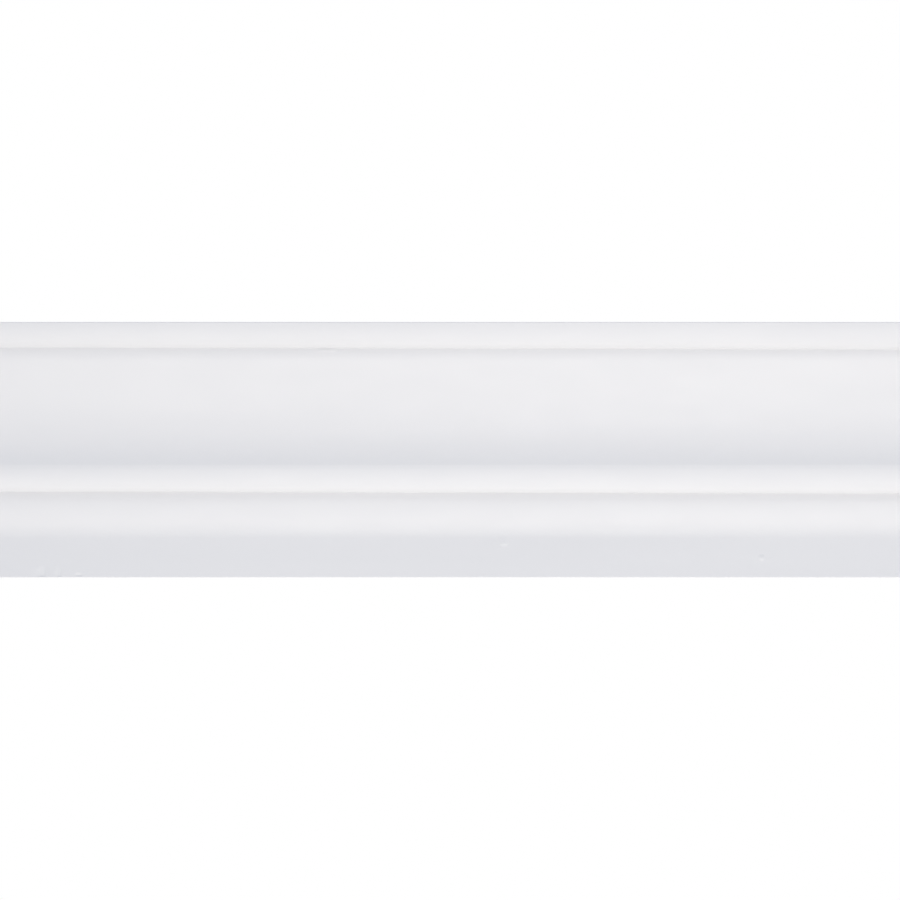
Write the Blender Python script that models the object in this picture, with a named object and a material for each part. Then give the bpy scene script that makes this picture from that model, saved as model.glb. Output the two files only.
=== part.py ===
"""A length of white decorative moulding, in metres.

It lies along X. Its flat back is on the plane y = 0, its carved front faces -Y, and its thickest member, the
nosing, is at the top. The origin is the centre of the flat back, where the moulding is fixed to a wall.

From top to bottom the front has a nosing, a long ogee with a hollow heel, a bead, a small ogee and a flat
fascia. Each member steps back towards the wall from the one above it. The members' sizes are set below, and the
height and the projection of the whole are what they add up to.

A tilt is how far a surface leans from upright: positive where it faces down, negative where it faces up.
"""

import math

import bmesh
import bpy

# The length of moulding, cut square at both ends
LENGTH = 0.305

# The arrises of the top and bottom edges
ARRIS_RADIUS = 0.0002

# The nosing, a quarter-round flatter than a circle, which steps back level to the ogee
NOSING_HEIGHT = 0.0084
NOSING_TILT = math.radians(14.5)
ROUND_DEPTH_RATIO = 0.60
NOSING_STEP = 0.0003

# The long ogee, a short swell over a long hollow whose heel turns out again
OGEE_SWELL_HEIGHT = 0.0044
OGEE_SWELL_POWER = 0.95
OGEE_TILT = math.radians(28.5)
OGEE_HOLLOW_HEIGHT = 0.0343
OGEE_HOLLOW_POWER = 2.2
OGEE_HEEL_TILT = math.radians(-8)

# The bead, a second quarter-round between two flats
BEAD_TOP_FLAT = 0.0013
BEAD_TOP_TILT = math.radians(5)
BEAD_HEIGHT = 0.0079
BEAD_TILT = math.radians(9.5)
BEAD_QUIRK_DEPTH = 0.0020
BEAD_QUIRK_HEIGHT = 0.0022

# The small ogee, which runs out into the fascia
SMALL_SWELL_HEIGHT = 0.0069
SMALL_SWELL_POWER = 0.47
SMALL_OGEE_TILT = math.radians(26)
SMALL_HOLLOW_HEIGHT = 0.0064
SMALL_HOLLOW_POWER = 1.5

# The flat fascia, the thinnest part of the moulding
FASCIA_HEIGHT = 0.0128
FASCIA_THICKNESS = 0.0048

# How finely the curves are divided
ARRIS_STEPS = 4
ROUND_STEPS = 30
SWEEP_STEPS = 30
SHARP_ANGLE = math.radians(25)


def straight(inward, down):
    """One straight step of the outline."""
    return [(inward, down)]


def top_arris(radius):
    """A rounded edge from the level top face to the upright front."""
    turns = [math.pi / 2 * step / ARRIS_STEPS for step in range(1, ARRIS_STEPS + 1)]
    return [(-radius * math.sin(turn), radius * (1 - math.cos(turn))) for turn in turns]


def bottom_arris(radius):
    """A rounded edge from the upright front to the level underside."""
    turns = [math.pi / 2 * step / ARRIS_STEPS for step in range(1, ARRIS_STEPS + 1)]
    return [(radius * (1 - math.cos(turn)), radius * math.sin(turn)) for turn in turns]


def quarter_round(height, first_tilt):
    """The part of a flattened quarter circle that leans by first_tilt at its top and is level underneath."""
    first_turn = math.atan(math.tan(first_tilt) / ROUND_DEPTH_RATIO)
    radius = height / (1 - math.sin(first_turn))
    points = []
    for step in range(1, ROUND_STEPS + 1):
        turn = first_turn + (math.pi / 2 - first_turn) * step / ROUND_STEPS
        inward = radius * ROUND_DEPTH_RATIO * (math.cos(first_turn) - math.cos(turn))
        down = radius * (math.sin(turn) - math.sin(first_turn))
        points.append((inward, down))
    return points


def sweep(height, first_tilt, last_tilt, power):
    """A curve whose tilt goes from first_tilt at its top to last_tilt at its foot.

    With a power over 1 most of the turning is near the foot, and with one under 1 it is near the top.
    """
    points = []
    inward = 0.0
    for step in range(SWEEP_STEPS):
        share = ((step + 0.5) / SWEEP_STEPS) ** power
        sine = math.sin(first_tilt) + (math.sin(last_tilt) - math.sin(first_tilt)) * share
        inward += math.tan(math.asin(sine)) * height / SWEEP_STEPS
        points.append((inward, height * (step + 1) / SWEEP_STEPS))
    return points


def front_members():
    """The members of the carved front, from the top arris down to the bottom one."""
    return [
        top_arris(ARRIS_RADIUS),
        quarter_round(NOSING_HEIGHT, NOSING_TILT),
        straight(NOSING_STEP, 0.0),
        sweep(OGEE_SWELL_HEIGHT, 0.0, OGEE_TILT, OGEE_SWELL_POWER),
        sweep(OGEE_HOLLOW_HEIGHT, OGEE_TILT, OGEE_HEEL_TILT, OGEE_HOLLOW_POWER),
        straight(BEAD_TOP_FLAT * math.tan(BEAD_TOP_TILT), BEAD_TOP_FLAT),
        quarter_round(BEAD_HEIGHT, BEAD_TILT),
        straight(BEAD_QUIRK_DEPTH, 0.0),
        straight(0.0, BEAD_QUIRK_HEIGHT),
        sweep(SMALL_SWELL_HEIGHT, 0.0, SMALL_OGEE_TILT, SMALL_SWELL_POWER),
        sweep(SMALL_HOLLOW_HEIGHT, SMALL_OGEE_TILT, 0.0, SMALL_HOLLOW_POWER),
        straight(0.0, FASCIA_HEIGHT),
        bottom_arris(ARRIS_RADIUS),
    ]


def section_outline():
    """The closed cross-section as (y, z) points, down the front and back up the wall face."""
    steps = [(0.0, 0.0)]
    for member in front_members():
        start_inward, start_down = steps[-1]
        steps += [(start_inward + inward, start_down + down) for inward, down in member]

    total_height = steps[-1][1]
    fascia_inward = steps[-1][0] - ARRIS_RADIUS
    front = [
        (inward - fascia_inward - FASCIA_THICKNESS, total_height / 2 - down)
        for inward, down in steps
    ]
    return front + [(0.0, -total_height / 2), (0.0, total_height / 2)]


def extruded_mesh(name, outline, length):
    """A solid with that cross-section, run along X and centred on x = 0."""
    solid = bmesh.new()
    left_end = solid.faces.new([solid.verts.new((-length / 2, y, z)) for y, z in outline])
    run = bmesh.ops.extrude_face_region(solid, geom=[left_end], use_keep_orig=True)
    right_end = [item for item in run["geom"] if isinstance(item, bmesh.types.BMVert)]
    bmesh.ops.translate(solid, verts=right_end, vec=(length, 0.0, 0.0))
    bmesh.ops.recalc_face_normals(solid, faces=solid.faces)

    mesh = bpy.data.meshes.new(name)
    solid.to_mesh(mesh)
    solid.free()
    mesh.shade_smooth()
    mesh.set_sharp_from_angle(angle=SHARP_ANGLE)
    return mesh


def primed_white():
    """The moulding's factory primer: a slightly cool white with a soft satin surface."""
    material = bpy.data.materials.new("primed_white")
    material.use_nodes = True
    shader = material.node_tree.nodes["Principled BSDF"]
    shader.inputs["Base Color"].default_value = (0.80, 0.80, 0.82, 1.0)
    shader.inputs["Roughness"].default_value = 0.45
    shader.inputs["Metallic"].default_value = 0.0
    return material


def make_moulding():
    """The whole length of moulding as one solid."""
    mesh = extruded_mesh("moulding", section_outline(), LENGTH)
    mesh.materials.append(primed_white())
    moulding = bpy.data.objects.new("moulding", mesh)
    bpy.context.scene.collection.objects.link(moulding)


for old_object in list(bpy.data.objects):
    bpy.data.objects.remove(old_object)

make_moulding()
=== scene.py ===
"""The looks of a length of white decorative moulding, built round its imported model, in metres.

The moulding lies along X with its flat back on y = 0, its carved front towards -Y and its nosing at the top.
"""

import math

import bmesh
import bpy
import numpy as np
from mathutils.geometry import delaunay_2d_cdt
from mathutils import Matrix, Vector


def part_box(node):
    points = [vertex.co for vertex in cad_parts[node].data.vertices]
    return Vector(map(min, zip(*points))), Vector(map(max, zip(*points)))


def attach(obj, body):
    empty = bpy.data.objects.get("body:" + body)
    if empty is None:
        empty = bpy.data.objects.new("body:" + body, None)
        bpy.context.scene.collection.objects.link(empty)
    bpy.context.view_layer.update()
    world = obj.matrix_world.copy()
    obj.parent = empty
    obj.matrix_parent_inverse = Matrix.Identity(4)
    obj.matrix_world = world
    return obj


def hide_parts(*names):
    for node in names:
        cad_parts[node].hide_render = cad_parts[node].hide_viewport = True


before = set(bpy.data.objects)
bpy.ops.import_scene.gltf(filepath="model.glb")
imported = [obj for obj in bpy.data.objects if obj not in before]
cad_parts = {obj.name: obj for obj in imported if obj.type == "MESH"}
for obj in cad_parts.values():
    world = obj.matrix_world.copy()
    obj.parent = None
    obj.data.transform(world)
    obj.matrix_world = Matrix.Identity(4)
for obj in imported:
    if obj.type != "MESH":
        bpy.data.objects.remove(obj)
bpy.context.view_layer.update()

CAD_NODE = "moulding"
MICRON = 1e-6

# The photograph's frame, and how large the moulding's middle depth shows in it
PHOTO_PIXELS = 900
PIXELS_PER_METRE = 3004.5
MIDDLE_DEPTH = 0.020
CAMERA_DISTANCE = 2.5
CAMERA_RISE = 0.00018
SENSOR_WIDTH = 36.0

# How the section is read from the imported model: what counts as one place, and how sharp a turn is a corner
SAME_PLACE = 1e-6
PLACE_DIGITS = 6
CORNER_TURN = math.radians(5.0)

# The primer rounds every edge and fills every inner corner a little
FINE_STEP = 0.00005
PRIMER_SOFTNESS = 0.00009
SOFTENING_REACH = 4
CLEAR_OF_BACK = 3 * PRIMER_SOFTNESS

# The mesh's lengthwise rows: this far apart, and closer together on curves and at flaws
KEPT_TURN = math.radians(2.4)
FRONT_SPACING = 0.0009
BACK_SPACING = 0.0050
MARK_ROW_SPACING = 0.00016

# The mesh's rings along the length: wide apart on the plain run, close together at a flaw
RING_SPACING = 0.0040
MARK_RING_SPACING = 0.00030

# The cut ends: an eased edge, then a thin skin round the core. An outline is rounded more the deeper it lies
END_BEVEL = 0.00012
SKIN_WIDTH = 0.00045
INSET_ROUNDING = 1.3
CORE_STRIDE = 16

# How a cut end is triangulated, with the rim's outline first and the core's second
CORE_LOOP = 1
INSIDE_ONLY = 1
MERGE_DISTANCE = 1e-8

# The finishes, by their places among the piece's materials
PRIMER, BACK, SKIN, CORE = range(4)

# Faint lengthwise waves left by the mould. Each has its wavelength across the front, its height, how far its
# phase drifts over the drift length, and its phase in the middle of the moulding
DRIFT_LENGTH = 0.1
MOULD_WAVES = (
    (0.0131, 14 * MICRON, 1.7, 0.4),
    (0.0074, 7 * MICRON, -2.6, 2.1),
    (0.0043, 3 * MICRON, 3.9, 4.0),
)

# The undersides of the two rounds sink a little from left to right, and blend out above and below
STEP_DEPTH = 0.0002
UNDERSIDE_SLOPE = 0.0022
UNDERSIDE_REACH = 0.0060

# Small flaws of the primer in the photograph: a blob under the nosing, a dash and a nib on the fascia, and
# three dents above the bottom edge, each with a nick in the edge below it. A flaw has its place along the
# length, its height above the middle, its half-length, its reach up the surface, its reach down the surface,
# and how far it stands out, which is negative for a dent or a nick
FLAWS = (
    (-0.0411, 0.0333, 0.0042, 0.0006, 0.0009, 170 * MICRON),
    (0.0180, -0.0312, 0.0018, 0.0035, 0.0006, 160 * MICRON),
    (0.1044, -0.0359, 0.0011, 0.0014, 0.0012, 200 * MICRON),
    (-0.1366, -0.0419, 0.0016, 0.0038, 0.0006, -280 * MICRON),
    (-0.1365, -0.04244, 0.0014, 0.00015, 0.0044, -110 * MICRON),
    (-0.1309, -0.0419, 0.0010, 0.0038, 0.0006, -240 * MICRON),
    (-0.1305, -0.04244, 0.0009, 0.00015, 0.0044, -110 * MICRON),
    (-0.1244, -0.0417, 0.0013, 0.0010, 0.0009, -260 * MICRON),
    (-0.1245, -0.04244, 0.0015, 0.00015, 0.0044, -110 * MICRON),
)

# The studio: a softbox low in front, one nearly underneath, soft light all round, and a pale floor well below
SOFTBOX_DISTANCE = 1.05
SOFTBOX_LENGTH = 0.62
SOFTBOX_COLOUR = (1.0, 0.955, 0.905)
KEY_SIDE = 0.110
KEY_ANGLE = math.radians(40.0)
KEY_WIDTH = 0.86
KEY_POWER = 4.27
FILL_SIDE = 0.060
FILL_ANGLE = math.radians(80.0)
FILL_WIDTH = 1.11
FILL_POWER = 3.44
ROOM_LEVEL = (0.710, 0.724, 0.792)
ROOM_ABOVE = (0.702, 0.760, 0.829)
ROOM_BEHIND = (0.88, 0.88, 0.88)
BEHIND_BLEND = 0.2
BACKGROUND_WHITE = 1.0
FLOOR_DROP = 1.3
FLOOR_REACH = 15.0

# The finishes, each drifting between two near shades
PRIMER_LIGHT = (0.806, 0.806, 0.812)
PRIMER_DARK = (0.794, 0.795, 0.802)
BACK_LIGHT = (0.84, 0.775, 0.69)
BACK_DARK = (0.77, 0.70, 0.61)
SKIN_LIGHT = (0.85, 0.80, 0.74)
SKIN_DARK = (0.81, 0.76, 0.69)
CORE_LIGHT = (0.84, 0.755, 0.63)
CORE_DARK = (0.74, 0.655, 0.53)
FLOOR_COLOUR = (0.60, 0.60, 0.61)
FLOOR_ROUGHNESS = 0.9

# A noise texture seldom leaves this range, and a wave texture of scale one repeats at this distance
NOISE_RANGE = (0.3, 0.7)
WAVE_PERIOD = 2 * math.pi / 20
SAW_PITCH = 0.0017
SAW_WAVER = 1.5

# The places of the colours among a Mix node's sockets
FIRST_COLOUR, SECOND_COLOUR, MIXED_COLOUR = 6, 7, 2


def points_of_section(node):
    """The corners of the CAD node's square-cut end, once each, as (y, z)."""
    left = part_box(CAD_NODE)[0].x
    return {
        (round(vertex.co.y, PLACE_DIGITS), round(vertex.co.z, PLACE_DIGITS))
        for vertex in node.data.vertices
        if vertex.co.x < left + SAME_PLACE
    }


def front_of_section(node):
    """The carved front, from the top down. A level step runs back towards the wall."""
    front = [point for point in points_of_section(node) if point[0] < -SAME_PLACE]
    return np.array(sorted(front, key=lambda point: (-point[1], point[0])))


def turn_between(before, after):
    """The angle from one direction to the next."""
    cross = before[0] * after[1] - before[1] * after[0]
    return math.atan2(cross, before[0] * after[0] + before[1] * after[1])


def smooth_stretches(points):
    """The open outline, cut at its corners into stretches that are smooth curves."""
    cuts = [0]
    for index in range(1, len(points) - 1):
        turn = turn_between(points[index] - points[index - 1], points[index + 1] - points[index])
        if abs(turn) > CORNER_TURN:
            cuts.append(index)
    cuts.append(len(points) - 1)
    return [points[start : end + 1] for start, end in zip(cuts, cuts[1:])]


def curve_through(points, spacing):
    """Evenly spaced points on a smooth curve through the given ones, without the last."""
    lengths = np.hypot(*np.diff(points, axis=0).T)
    places = np.concatenate([[0.0], np.cumsum(lengths)])
    slopes = np.diff(points, axis=0) / lengths[:, None]
    tangents = np.empty_like(points)
    tangents[0], tangents[-1] = slopes[0], slopes[-1]
    if len(points) > 2:
        weights = (lengths[1:] / (lengths[1:] + lengths[:-1]))[:, None]
        tangents[1:-1] = slopes[:-1] * weights + slopes[1:] * (1 - weights)
        tangents[0] = 2 * slopes[0] - tangents[1]
        tangents[-1] = 2 * slopes[-1] - tangents[-2]

    count = max(1, round(places[-1] / spacing))
    wanted = np.arange(count) * places[-1] / count
    piece = np.clip(np.searchsorted(places, wanted, side="right") - 1, 0, len(lengths) - 1)
    span = lengths[piece]
    share = ((wanted - places[piece]) / span)[:, None]
    span = span[:, None]
    return (
        (2 * share**3 - 3 * share**2 + 1) * points[piece]
        + (share**3 - 2 * share**2 + share) * span * tangents[piece]
        + (3 * share**2 - 2 * share**3) * points[piece + 1]
        + (share**3 - share**2) * span * tangents[piece + 1]
    )


def softened(loop, spacing, softness):
    """The closed outline with its corners rounded, as a coat of primer rounds them."""
    reach = math.ceil(SOFTENING_REACH * softness / spacing)
    offsets = np.arange(-reach, reach + 1)
    weights = np.exp(-0.5 * (offsets * spacing / softness) ** 2)
    weights /= weights.sum()
    return sum(weight * np.roll(loop, -offset, axis=0) for offset, weight in zip(offsets, weights))


def fine_outline(node):
    """The whole section as a closed, evenly spaced, softened outline, down the front and up the back."""
    front = front_of_section(node)
    top, bottom = front[0, 1], front[-1, 1]
    back_corners = [np.array([0.0, bottom]), np.array([0.0, top])]
    stretches = smooth_stretches(front)
    around = [front[-1], *back_corners, front[0]]
    stretches += [np.array(pair) for pair in zip(around, around[1:])]
    loop = np.concatenate([curve_through(stretch, FINE_STEP) for stretch in stretches])
    return softened(loop, FINE_STEP, PRIMER_SOFTNESS)


def outward_normals(loop):
    """The unit normals of a closed outline that runs down the front and up the back."""
    along = np.roll(loop, -1, axis=0) - np.roll(loop, 1, axis=0)
    along /= np.hypot(*along.T)[:, None]
    return np.column_stack([along[:, 1], -along[:, 0]])


def underside_heights(node):
    """The heights at which the front steps back level, under each of its rounds."""
    front = front_of_section(node)
    return [
        above[1]
        for above, below in zip(front, front[1:])
        if abs(above[1] - below[1]) < SAME_PLACE and below[0] - above[0] > STEP_DEPTH
    ]


def underside_drift(section, heights):
    """How fast each point of the section sinks along X, where the rounds' undersides run out of level."""
    return sum(UNDERSIDE_SLOPE * swell((section[:, 1] - height) / UNDERSIDE_REACH) for height in heights)


def sunk(outline, x, drift):
    """The outline as it is at x, where each of its points has sunk by its drift."""
    moved = outline.copy()
    moved[:, 1] -= x * drift
    return moved


def moved_inwards(loop, depth):
    """The outline moved in by a depth. It is rounded first, so that it doesn't fold at a corner."""
    rounded = softened(loop, FINE_STEP, INSET_ROUNDING * depth)
    return rounded - outward_normals(rounded) * depth


def anticlockwise(outline):
    """The same closed outline, turning to the left."""
    area = np.sum(outline[:, 0] * np.roll(outline[:, 1], -1) - outline[:, 1] * np.roll(outline[:, 0], -1))
    return outline if area > 0 else outline[::-1]


def fill_end(solid, rim, core_outline):
    """Fills a square-cut end: the foam core, and the dense skin between it and the rim of vertices."""
    x = rim[0].co.x
    rim_outline = np.array([(vertex.co.y, vertex.co.z) for vertex in rim])
    if anticlockwise(rim_outline) is not rim_outline:
        rim, rim_outline = rim[::-1], rim_outline[::-1]
    outlines = [rim_outline, anticlockwise(core_outline)]
    starts = [0, len(rim), len(rim) + len(core_outline)]
    loops = [list(range(start, end)) for start, end in zip(starts, starts[1:])]
    points = np.concatenate(outlines).tolist()
    filled = delaunay_2d_cdt(points, [], loops, INSIDE_ONLY, MERGE_DISTANCE)
    places, _, triangles, sources, _, inside_of = filled

    vertices = []
    for place, source in zip(places, sources):
        on_rim = [index for index in source if index < len(rim)]
        vertices.append(rim[on_rim[0]] if on_rim else solid.verts.new((x, *place)))
    for corners, loops_round_it in zip(triangles, inside_of):
        face = solid.faces.new([vertices[corner] for corner in corners])
        face.material_index = CORE if CORE_LOOP in loops_round_it else SKIN


def flaw_middles(loop):
    """How far down the outline the middle of each flaw lies."""
    front_count = np.argmax(loop[:, 0] > -PRIMER_SOFTNESS)
    heights = loop[:front_count, 1]
    return [np.argmin(np.abs(heights - height)) * FINE_STEP for _, height, *_ in FLAWS]


def rows_kept(loop, normals):
    """Which outline points become rows of the mesh: close on curves and at flaws, wide apart on flats."""
    middles = flaw_middles(loop)
    reaches = [(middle - up, middle + down) for middle, (*_, up, down, _) in zip(middles, FLAWS)]
    angles = np.unwrap(np.arctan2(normals[:, 1], normals[:, 0]))
    kept = [0]
    for index in range(1, len(loop)):
        last = kept[-1]
        place = loop[index]
        on_back = place[0] > -PRIMER_SOFTNESS
        limit = BACK_SPACING if on_back else FRONT_SPACING
        if any(start < index * FINE_STEP < end for start, end in reaches):
            limit = MARK_ROW_SPACING
        far = (index - last) * FINE_STEP >= limit
        if far or abs(angles[index] - angles[last]) > KEPT_TURN:
            kept.append(index)
    return kept


def ring_places(half_length):
    """Where the rings stand along X, from end to end."""
    count = math.ceil(2 * half_length / RING_SPACING)
    places = list(np.linspace(-half_length, half_length, count + 1))
    for middle, _, reach, *_ in FLAWS:
        rings = math.ceil(2 * reach / MARK_RING_SPACING)
        places = [place for place in places if not abs(place - middle) < reach + MARK_RING_SPACING]
        places += list(middle + np.linspace(-reach, reach, rings + 1))
    return np.array(sorted(places))


def swell(share):
    """A smooth hump, one in its middle and nothing at a share of one."""
    return np.where(np.abs(share) < 1, 0.5 + 0.5 * np.cos(np.pi * np.clip(share, -1, 1)), 0.0)


def surface_relief(along, x, middles):
    """How far each point of the ring at x stands out from the section: mould waves and flaws."""
    relief = np.zeros(len(along))
    for wavelength, height, drift, phase in MOULD_WAVES:
        relief += height * np.cos(2 * np.pi * along / wavelength + drift * x / DRIFT_LENGTH + phase)
    for middle, (place, _, half_length, up, down, height) in zip(middles, FLAWS):
        past = along - middle
        across = swell(past / np.where(past < 0, up, down))
        relief += height * across * swell(((x - place) / half_length) ** 2)
    return relief


def moulding_mesh(node):
    """The moulding as one closed mesh: rings of the section, with an eased edge and a cap at each end."""
    loop = fine_outline(node)
    normals = outward_normals(loop)
    kept = rows_kept(loop, normals)
    section, outward = loop[kept], normals[kept]
    along = np.array(kept) * FINE_STEP
    middles = flaw_middles(loop)
    rim_outline = moved_inwards(loop, END_BEVEL)[kept]
    core_outline = moved_inwards(loop, END_BEVEL + SKIN_WIDTH)[::CORE_STRIDE]
    on_front = section[:, 0] < -CLEAR_OF_BACK
    on_back = section[:, 0] > -PRIMER_SOFTNESS
    undersides = underside_heights(node)
    drift = underside_drift(section, undersides) * on_front
    core_drift = underside_drift(core_outline, undersides)

    half_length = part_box(CAD_NODE)[1].x
    rings = ring_places(half_length - END_BEVEL)
    count = len(section)
    solid = bmesh.new()

    def section_at(x):
        relief = surface_relief(along, x, middles) * on_front
        return sunk(section + outward * relief[:, None], x, drift)

    def add_ring(x, outline):
        return [solid.verts.new((x, y, z)) for y, z in outline]

    def keep_sharp(ring):
        for vertex, after in zip(ring, ring[1:] + ring[:1]):
            solid.edges.get((vertex, after)).smooth = False

    def join(first, second):
        for index in range(count):
            after = (index + 1) % count
            face = solid.faces.new((first[index], first[after], second[after], second[index]))
            face.smooth = True
            face.material_index = BACK if on_back[index] and on_back[after] else PRIMER

    loops = [add_ring(x, section_at(x)) for x in rings]
    for first, second in zip(loops, loops[1:]):
        join(first, second)
    for x, loop_at_end in ((-half_length, loops[0]), (half_length, loops[-1])):
        rim = add_ring(x, rim_outline + section_at(x) - section)
        join(loop_at_end, rim)
        fill_end(solid, rim, sunk(core_outline, x, core_drift))
        keep_sharp(loop_at_end)
        keep_sharp(rim)

    bmesh.ops.recalc_face_normals(solid, faces=solid.faces)
    mesh = bpy.data.meshes.new("finished_moulding")
    solid.to_mesh(mesh)
    solid.free()
    return mesh


def noise_height(material, size, stretch=1.0, detail=2.0):
    """A noise texture whose features are size across, and stretch times as long along the moulding."""
    nodes, links = material.node_tree.nodes, material.node_tree.links
    place = nodes.new("ShaderNodeTexCoord")
    mapping = nodes.new("ShaderNodeMapping")
    mapping.inputs["Scale"].default_value = (1 / stretch, 1.0, 1.0)
    noise = nodes.new("ShaderNodeTexNoise")
    noise.inputs["Scale"].default_value = 1 / size
    noise.inputs["Detail"].default_value = detail
    links.new(place.outputs["Object"], mapping.inputs["Vector"])
    links.new(mapping.outputs["Vector"], noise.inputs["Vector"])
    return noise.outputs["Fac"]


def cell_height(material, size):
    """A cell texture, the distance from the nearest of many points that are size apart."""
    nodes, links = material.node_tree.nodes, material.node_tree.links
    place = nodes.new("ShaderNodeTexCoord")
    cells = nodes.new("ShaderNodeTexVoronoi")
    cells.inputs["Scale"].default_value = 1 / size
    links.new(place.outputs["Object"], cells.inputs["Vector"])
    return cells.outputs["Distance"]


def saw_marks(material, pitch):
    """A wave texture of upright, slightly wavering lines, one for each tooth's pass across a cut end."""
    nodes, links = material.node_tree.nodes, material.node_tree.links
    place = nodes.new("ShaderNodeTexCoord")
    waves = nodes.new("ShaderNodeTexWave")
    waves.bands_direction = "Y"
    waves.inputs["Scale"].default_value = WAVE_PERIOD / pitch
    waves.inputs["Distortion"].default_value = SAW_WAVER
    links.new(place.outputs["Object"], waves.inputs["Vector"])
    return waves.outputs["Fac"]


def stack_bumps(material, shader, layers):
    """Bump layers on top of each other, each a texture output and its real height in metres."""
    nodes, links = material.node_tree.nodes, material.node_tree.links
    below = None
    for height, depth in layers:
        bump = nodes.new("ShaderNodeBump")
        bump.inputs["Distance"].default_value = depth
        links.new(height, bump.inputs["Height"])
        if below:
            links.new(below, bump.inputs["Normal"])
        below = bump.outputs["Normal"]
    links.new(below, shader.inputs["Normal"])


def mottle(material, shader, factor, light, dark):
    """Colour that drifts between two near shades as a texture output goes from low to high."""
    nodes, links = material.node_tree.nodes, material.node_tree.links
    ramp = nodes.new("ShaderNodeValToRGB")
    for end, place, colour in zip(ramp.color_ramp.elements, NOISE_RANGE, (dark, light)):
        end.position = place
        end.color = (*colour, 1.0)
    links.new(factor, ramp.inputs["Fac"])
    links.new(ramp.outputs["Color"], shader.inputs["Base Color"])


def vary_roughness(material, shader, factor, low, high):
    """Roughness that follows a texture output between two values."""
    nodes, links = material.node_tree.nodes, material.node_tree.links
    spread = nodes.new("ShaderNodeMapRange")
    spread.inputs["From Min"].default_value, spread.inputs["From Max"].default_value = NOISE_RANGE
    spread.inputs["To Min"].default_value = low
    spread.inputs["To Max"].default_value = high
    links.new(factor, spread.inputs["Value"])
    links.new(spread.outputs["Result"], shader.inputs["Roughness"])


def new_material(name):
    """A material with an empty Principled shader."""
    material = bpy.data.materials.new(name)
    material.use_nodes = True
    return material, material.node_tree.nodes["Principled BSDF"]


def primer_material():
    """Smooth satin white primer: faint orange peel, faint streaks along the run, a breath of tone drift."""
    material, shader = new_material("primed_white")
    drift = noise_height(material, size=0.035, stretch=4.0)
    sheen = noise_height(material, size=0.006, stretch=3.0)
    peel = noise_height(material, size=0.0013)
    streaks = noise_height(material, size=0.0011, stretch=150.0)
    mottle(material, shader, drift, PRIMER_LIGHT, PRIMER_DARK)
    vary_roughness(material, shader, sheen, low=0.42, high=0.52)
    stack_bumps(material, shader, [(peel, 2.5 * MICRON), (streaks, 1.5 * MICRON)])
    return material


def back_material():
    """The unprimed back: pale foam with sanding lines along the run and fine open cells."""
    material, shader = new_material("sanded_back")
    lines = noise_height(material, size=0.0021, stretch=90.0, detail=7.0)
    wear = noise_height(material, size=0.004, stretch=20.0)
    sway = noise_height(material, size=0.016, stretch=3.0)
    cells = cell_height(material, size=0.0006)
    mottle(material, shader, lines, BACK_LIGHT, BACK_DARK)
    vary_roughness(material, shader, wear, low=0.72, high=0.86)
    stack_bumps(material, shader, [(sway, 120 * MICRON), (lines, 90 * MICRON), (cells, 45 * MICRON)])
    return material


def skin_material():
    """The dense skin under the primer, seen as a thin line round each cut end."""
    material, shader = new_material("dense_skin")
    mottle(material, shader, noise_height(material, size=0.001), SKIN_LIGHT, SKIN_DARK)
    vary_roughness(material, shader, noise_height(material, size=0.0008), low=0.55, high=0.68)
    stack_bumps(material, shader, [(noise_height(material, size=0.0004), 12 * MICRON)])
    return material


def core_material():
    """The sawn foam of the cut ends: cream, matt, with fine cells and the saw's upright marks."""
    material, shader = new_material("sawn_foam")
    grain = noise_height(material, size=0.0012, detail=6.0)
    mottle(material, shader, grain, CORE_LIGHT, CORE_DARK)
    vary_roughness(material, shader, noise_height(material, size=0.003), low=0.82, high=0.94)
    cells = cell_height(material, size=0.00045)
    stack_bumps(material, shader, [(saw_marks(material, SAW_PITCH), 40 * MICRON), (cells, 90 * MICRON)])
    return material


def add_piece():
    """The finished moulding in place of the CAD node."""
    piece = bpy.data.objects.new("finished_moulding", moulding_mesh(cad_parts[CAD_NODE]))
    bpy.context.scene.collection.objects.link(piece)
    for material in (primer_material(), back_material(), skin_material(), core_material()):
        piece.data.materials.append(material)
    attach(piece, "root")
    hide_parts(CAD_NODE)


def add_softbox(name, side, angle, width, power):
    """A softbox in front of the moulding, off to one side and at an angle below the level."""
    light = bpy.data.lights.new(name, "AREA")
    light.shape = "RECTANGLE"
    light.size = SOFTBOX_LENGTH
    light.size_y = width
    light.energy = power
    light.color = SOFTBOX_COLOUR
    softbox = bpy.data.objects.new(name, light)
    forward = MIDDLE_DEPTH + SOFTBOX_DISTANCE * math.cos(angle)
    softbox.location = (side, -forward, -SOFTBOX_DISTANCE * math.sin(angle))
    softbox.rotation_euler = (math.pi / 2 + angle, 0.0, 0.0)
    softbox.visible_camera = False
    bpy.context.scene.collection.objects.link(softbox)


def blended_colours(tree, factor, first, second):
    """A colour that goes from the first to the second with a factor. Either can be a node's output."""
    mix = tree.nodes.new("ShaderNodeMix")
    mix.data_type = "RGBA"
    tree.links.new(factor, mix.inputs["Factor"])
    for socket, colour in ((mix.inputs[FIRST_COLOUR], first), (mix.inputs[SECOND_COLOUR], second)):
        if isinstance(colour, tuple):
            socket.default_value = (*colour, 1.0)
        else:
            tree.links.new(colour, socket)
    return mix.outputs[MIXED_COLOUR]


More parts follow.
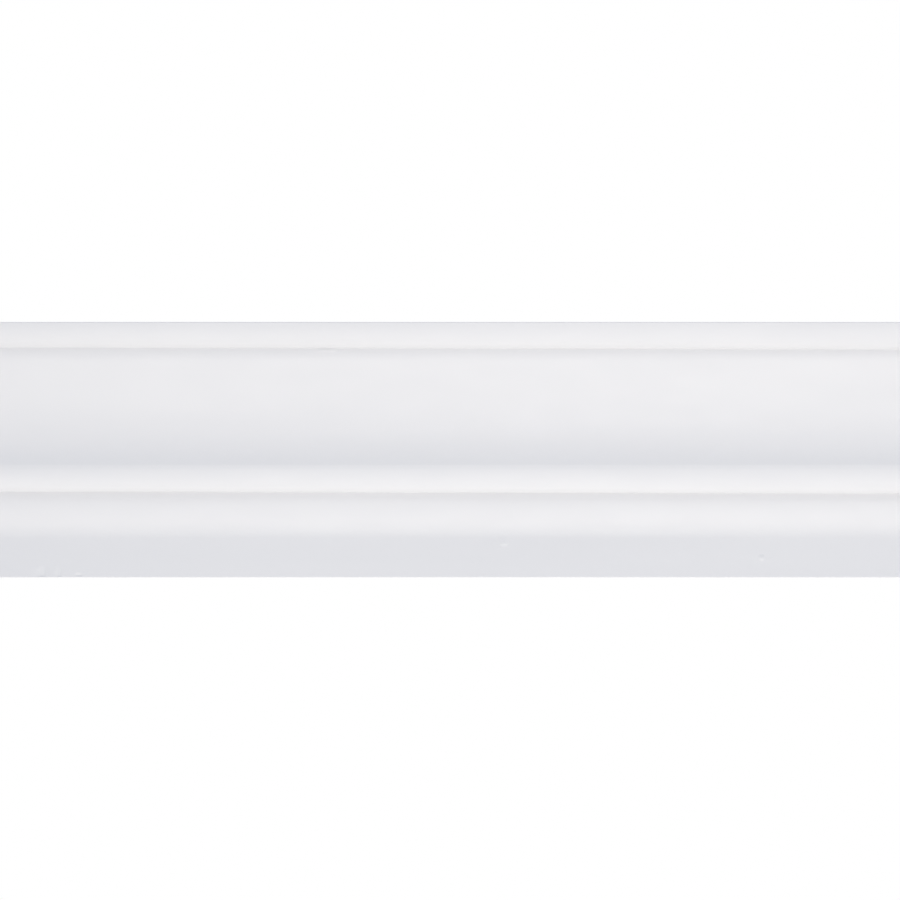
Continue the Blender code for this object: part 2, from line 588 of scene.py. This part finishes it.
def add_soft_room():
    """Soft light from all round, cooler above and stronger behind, with a white background for the camera."""
    world = bpy.data.worlds.new("soft_room")
    world.use_nodes = True
    bpy.context.scene.world = world
    tree = world.node_tree
    place = tree.nodes.new("ShaderNodeTexCoord")
    direction = tree.nodes.new("ShaderNodeSeparateXYZ")
    tree.links.new(place.outputs["Generated"], direction.inputs["Vector"])
    behind = tree.nodes.new("ShaderNodeMapRange")
    behind.interpolation_type = "SMOOTHSTEP"
    behind.inputs["From Min"].default_value = -BEHIND_BLEND
    behind.inputs["From Max"].default_value = BEHIND_BLEND
    tree.links.new(direction.outputs["Y"], behind.inputs["Value"])
    front = blended_colours(tree, direction.outputs["Z"], ROOM_LEVEL, ROOM_ABOVE)
    room = tree.nodes["Background"]
    tree.links.new(blended_colours(tree, behind.outputs["Result"], front, ROOM_BEHIND), room.inputs["Color"])

    white = tree.nodes.new("ShaderNodeBackground")
    white.inputs["Strength"].default_value = BACKGROUND_WHITE
    white.inputs["Color"].default_value = (1.0, 1.0, 1.0, 1.0)
    path = tree.nodes.new("ShaderNodeLightPath")
    shown = tree.nodes.new("ShaderNodeMixShader")
    tree.links.new(path.outputs["Is Camera Ray"], shown.inputs["Fac"])
    tree.links.new(room.outputs["Background"], shown.inputs[1])
    tree.links.new(white.outputs["Background"], shown.inputs[2])
    tree.links.new(shown.outputs["Shader"], tree.nodes["World Output"].inputs["Surface"])


def add_floor():
    """A plain pale floor, far below the moulding and out of the photograph's view."""
    mesh = bpy.data.meshes.new("floor")
    signs = [(-1, -1), (1, -1), (1, 1), (-1, 1)]
    corners = [(x * FLOOR_REACH, y * FLOOR_REACH, -FLOOR_DROP) for x, y in signs]
    mesh.from_pydata(corners, [], [(0, 1, 2, 3)])
    floor = bpy.data.objects.new("floor", mesh)
    material, shader = new_material("pale_floor")
    shader.inputs["Base Color"].default_value = (*FLOOR_COLOUR, 1.0)
    shader.inputs["Roughness"].default_value = FLOOR_ROUGHNESS
    mesh.materials.append(material)
    bpy.context.scene.collection.objects.link(floor)


def add_camera():
    """The photograph's view: square on to the front, from far enough away to show no ends."""
    camera = bpy.data.cameras.new("camera")
    camera.sensor_width = SENSOR_WIDTH
    camera.lens = SENSOR_WIDTH * PIXELS_PER_METRE * (CAMERA_DISTANCE - MIDDLE_DEPTH) / PHOTO_PIXELS
    holder = bpy.data.objects.new("camera", camera)
    holder.location = (0.0, -CAMERA_DISTANCE, CAMERA_RISE)
    holder.rotation_euler = (math.pi / 2, 0.0, 0.0)
    bpy.context.scene.collection.objects.link(holder)
    bpy.context.scene.camera = holder


def true_colours():
    """Colours are shown as they are, so that the white stays white."""
    settings = bpy.context.scene.view_settings
    settings.view_transform = "Standard"
    settings.look = "None"
    settings.exposure = 0.0
    settings.gamma = 1.0


add_camera()
add_piece()
add_softbox("low_key", KEY_SIDE, KEY_ANGLE, KEY_WIDTH, KEY_POWER)
add_softbox("low_fill", FILL_SIDE, FILL_ANGLE, FILL_WIDTH, FILL_POWER)
add_soft_room()
add_floor()
true_colours()
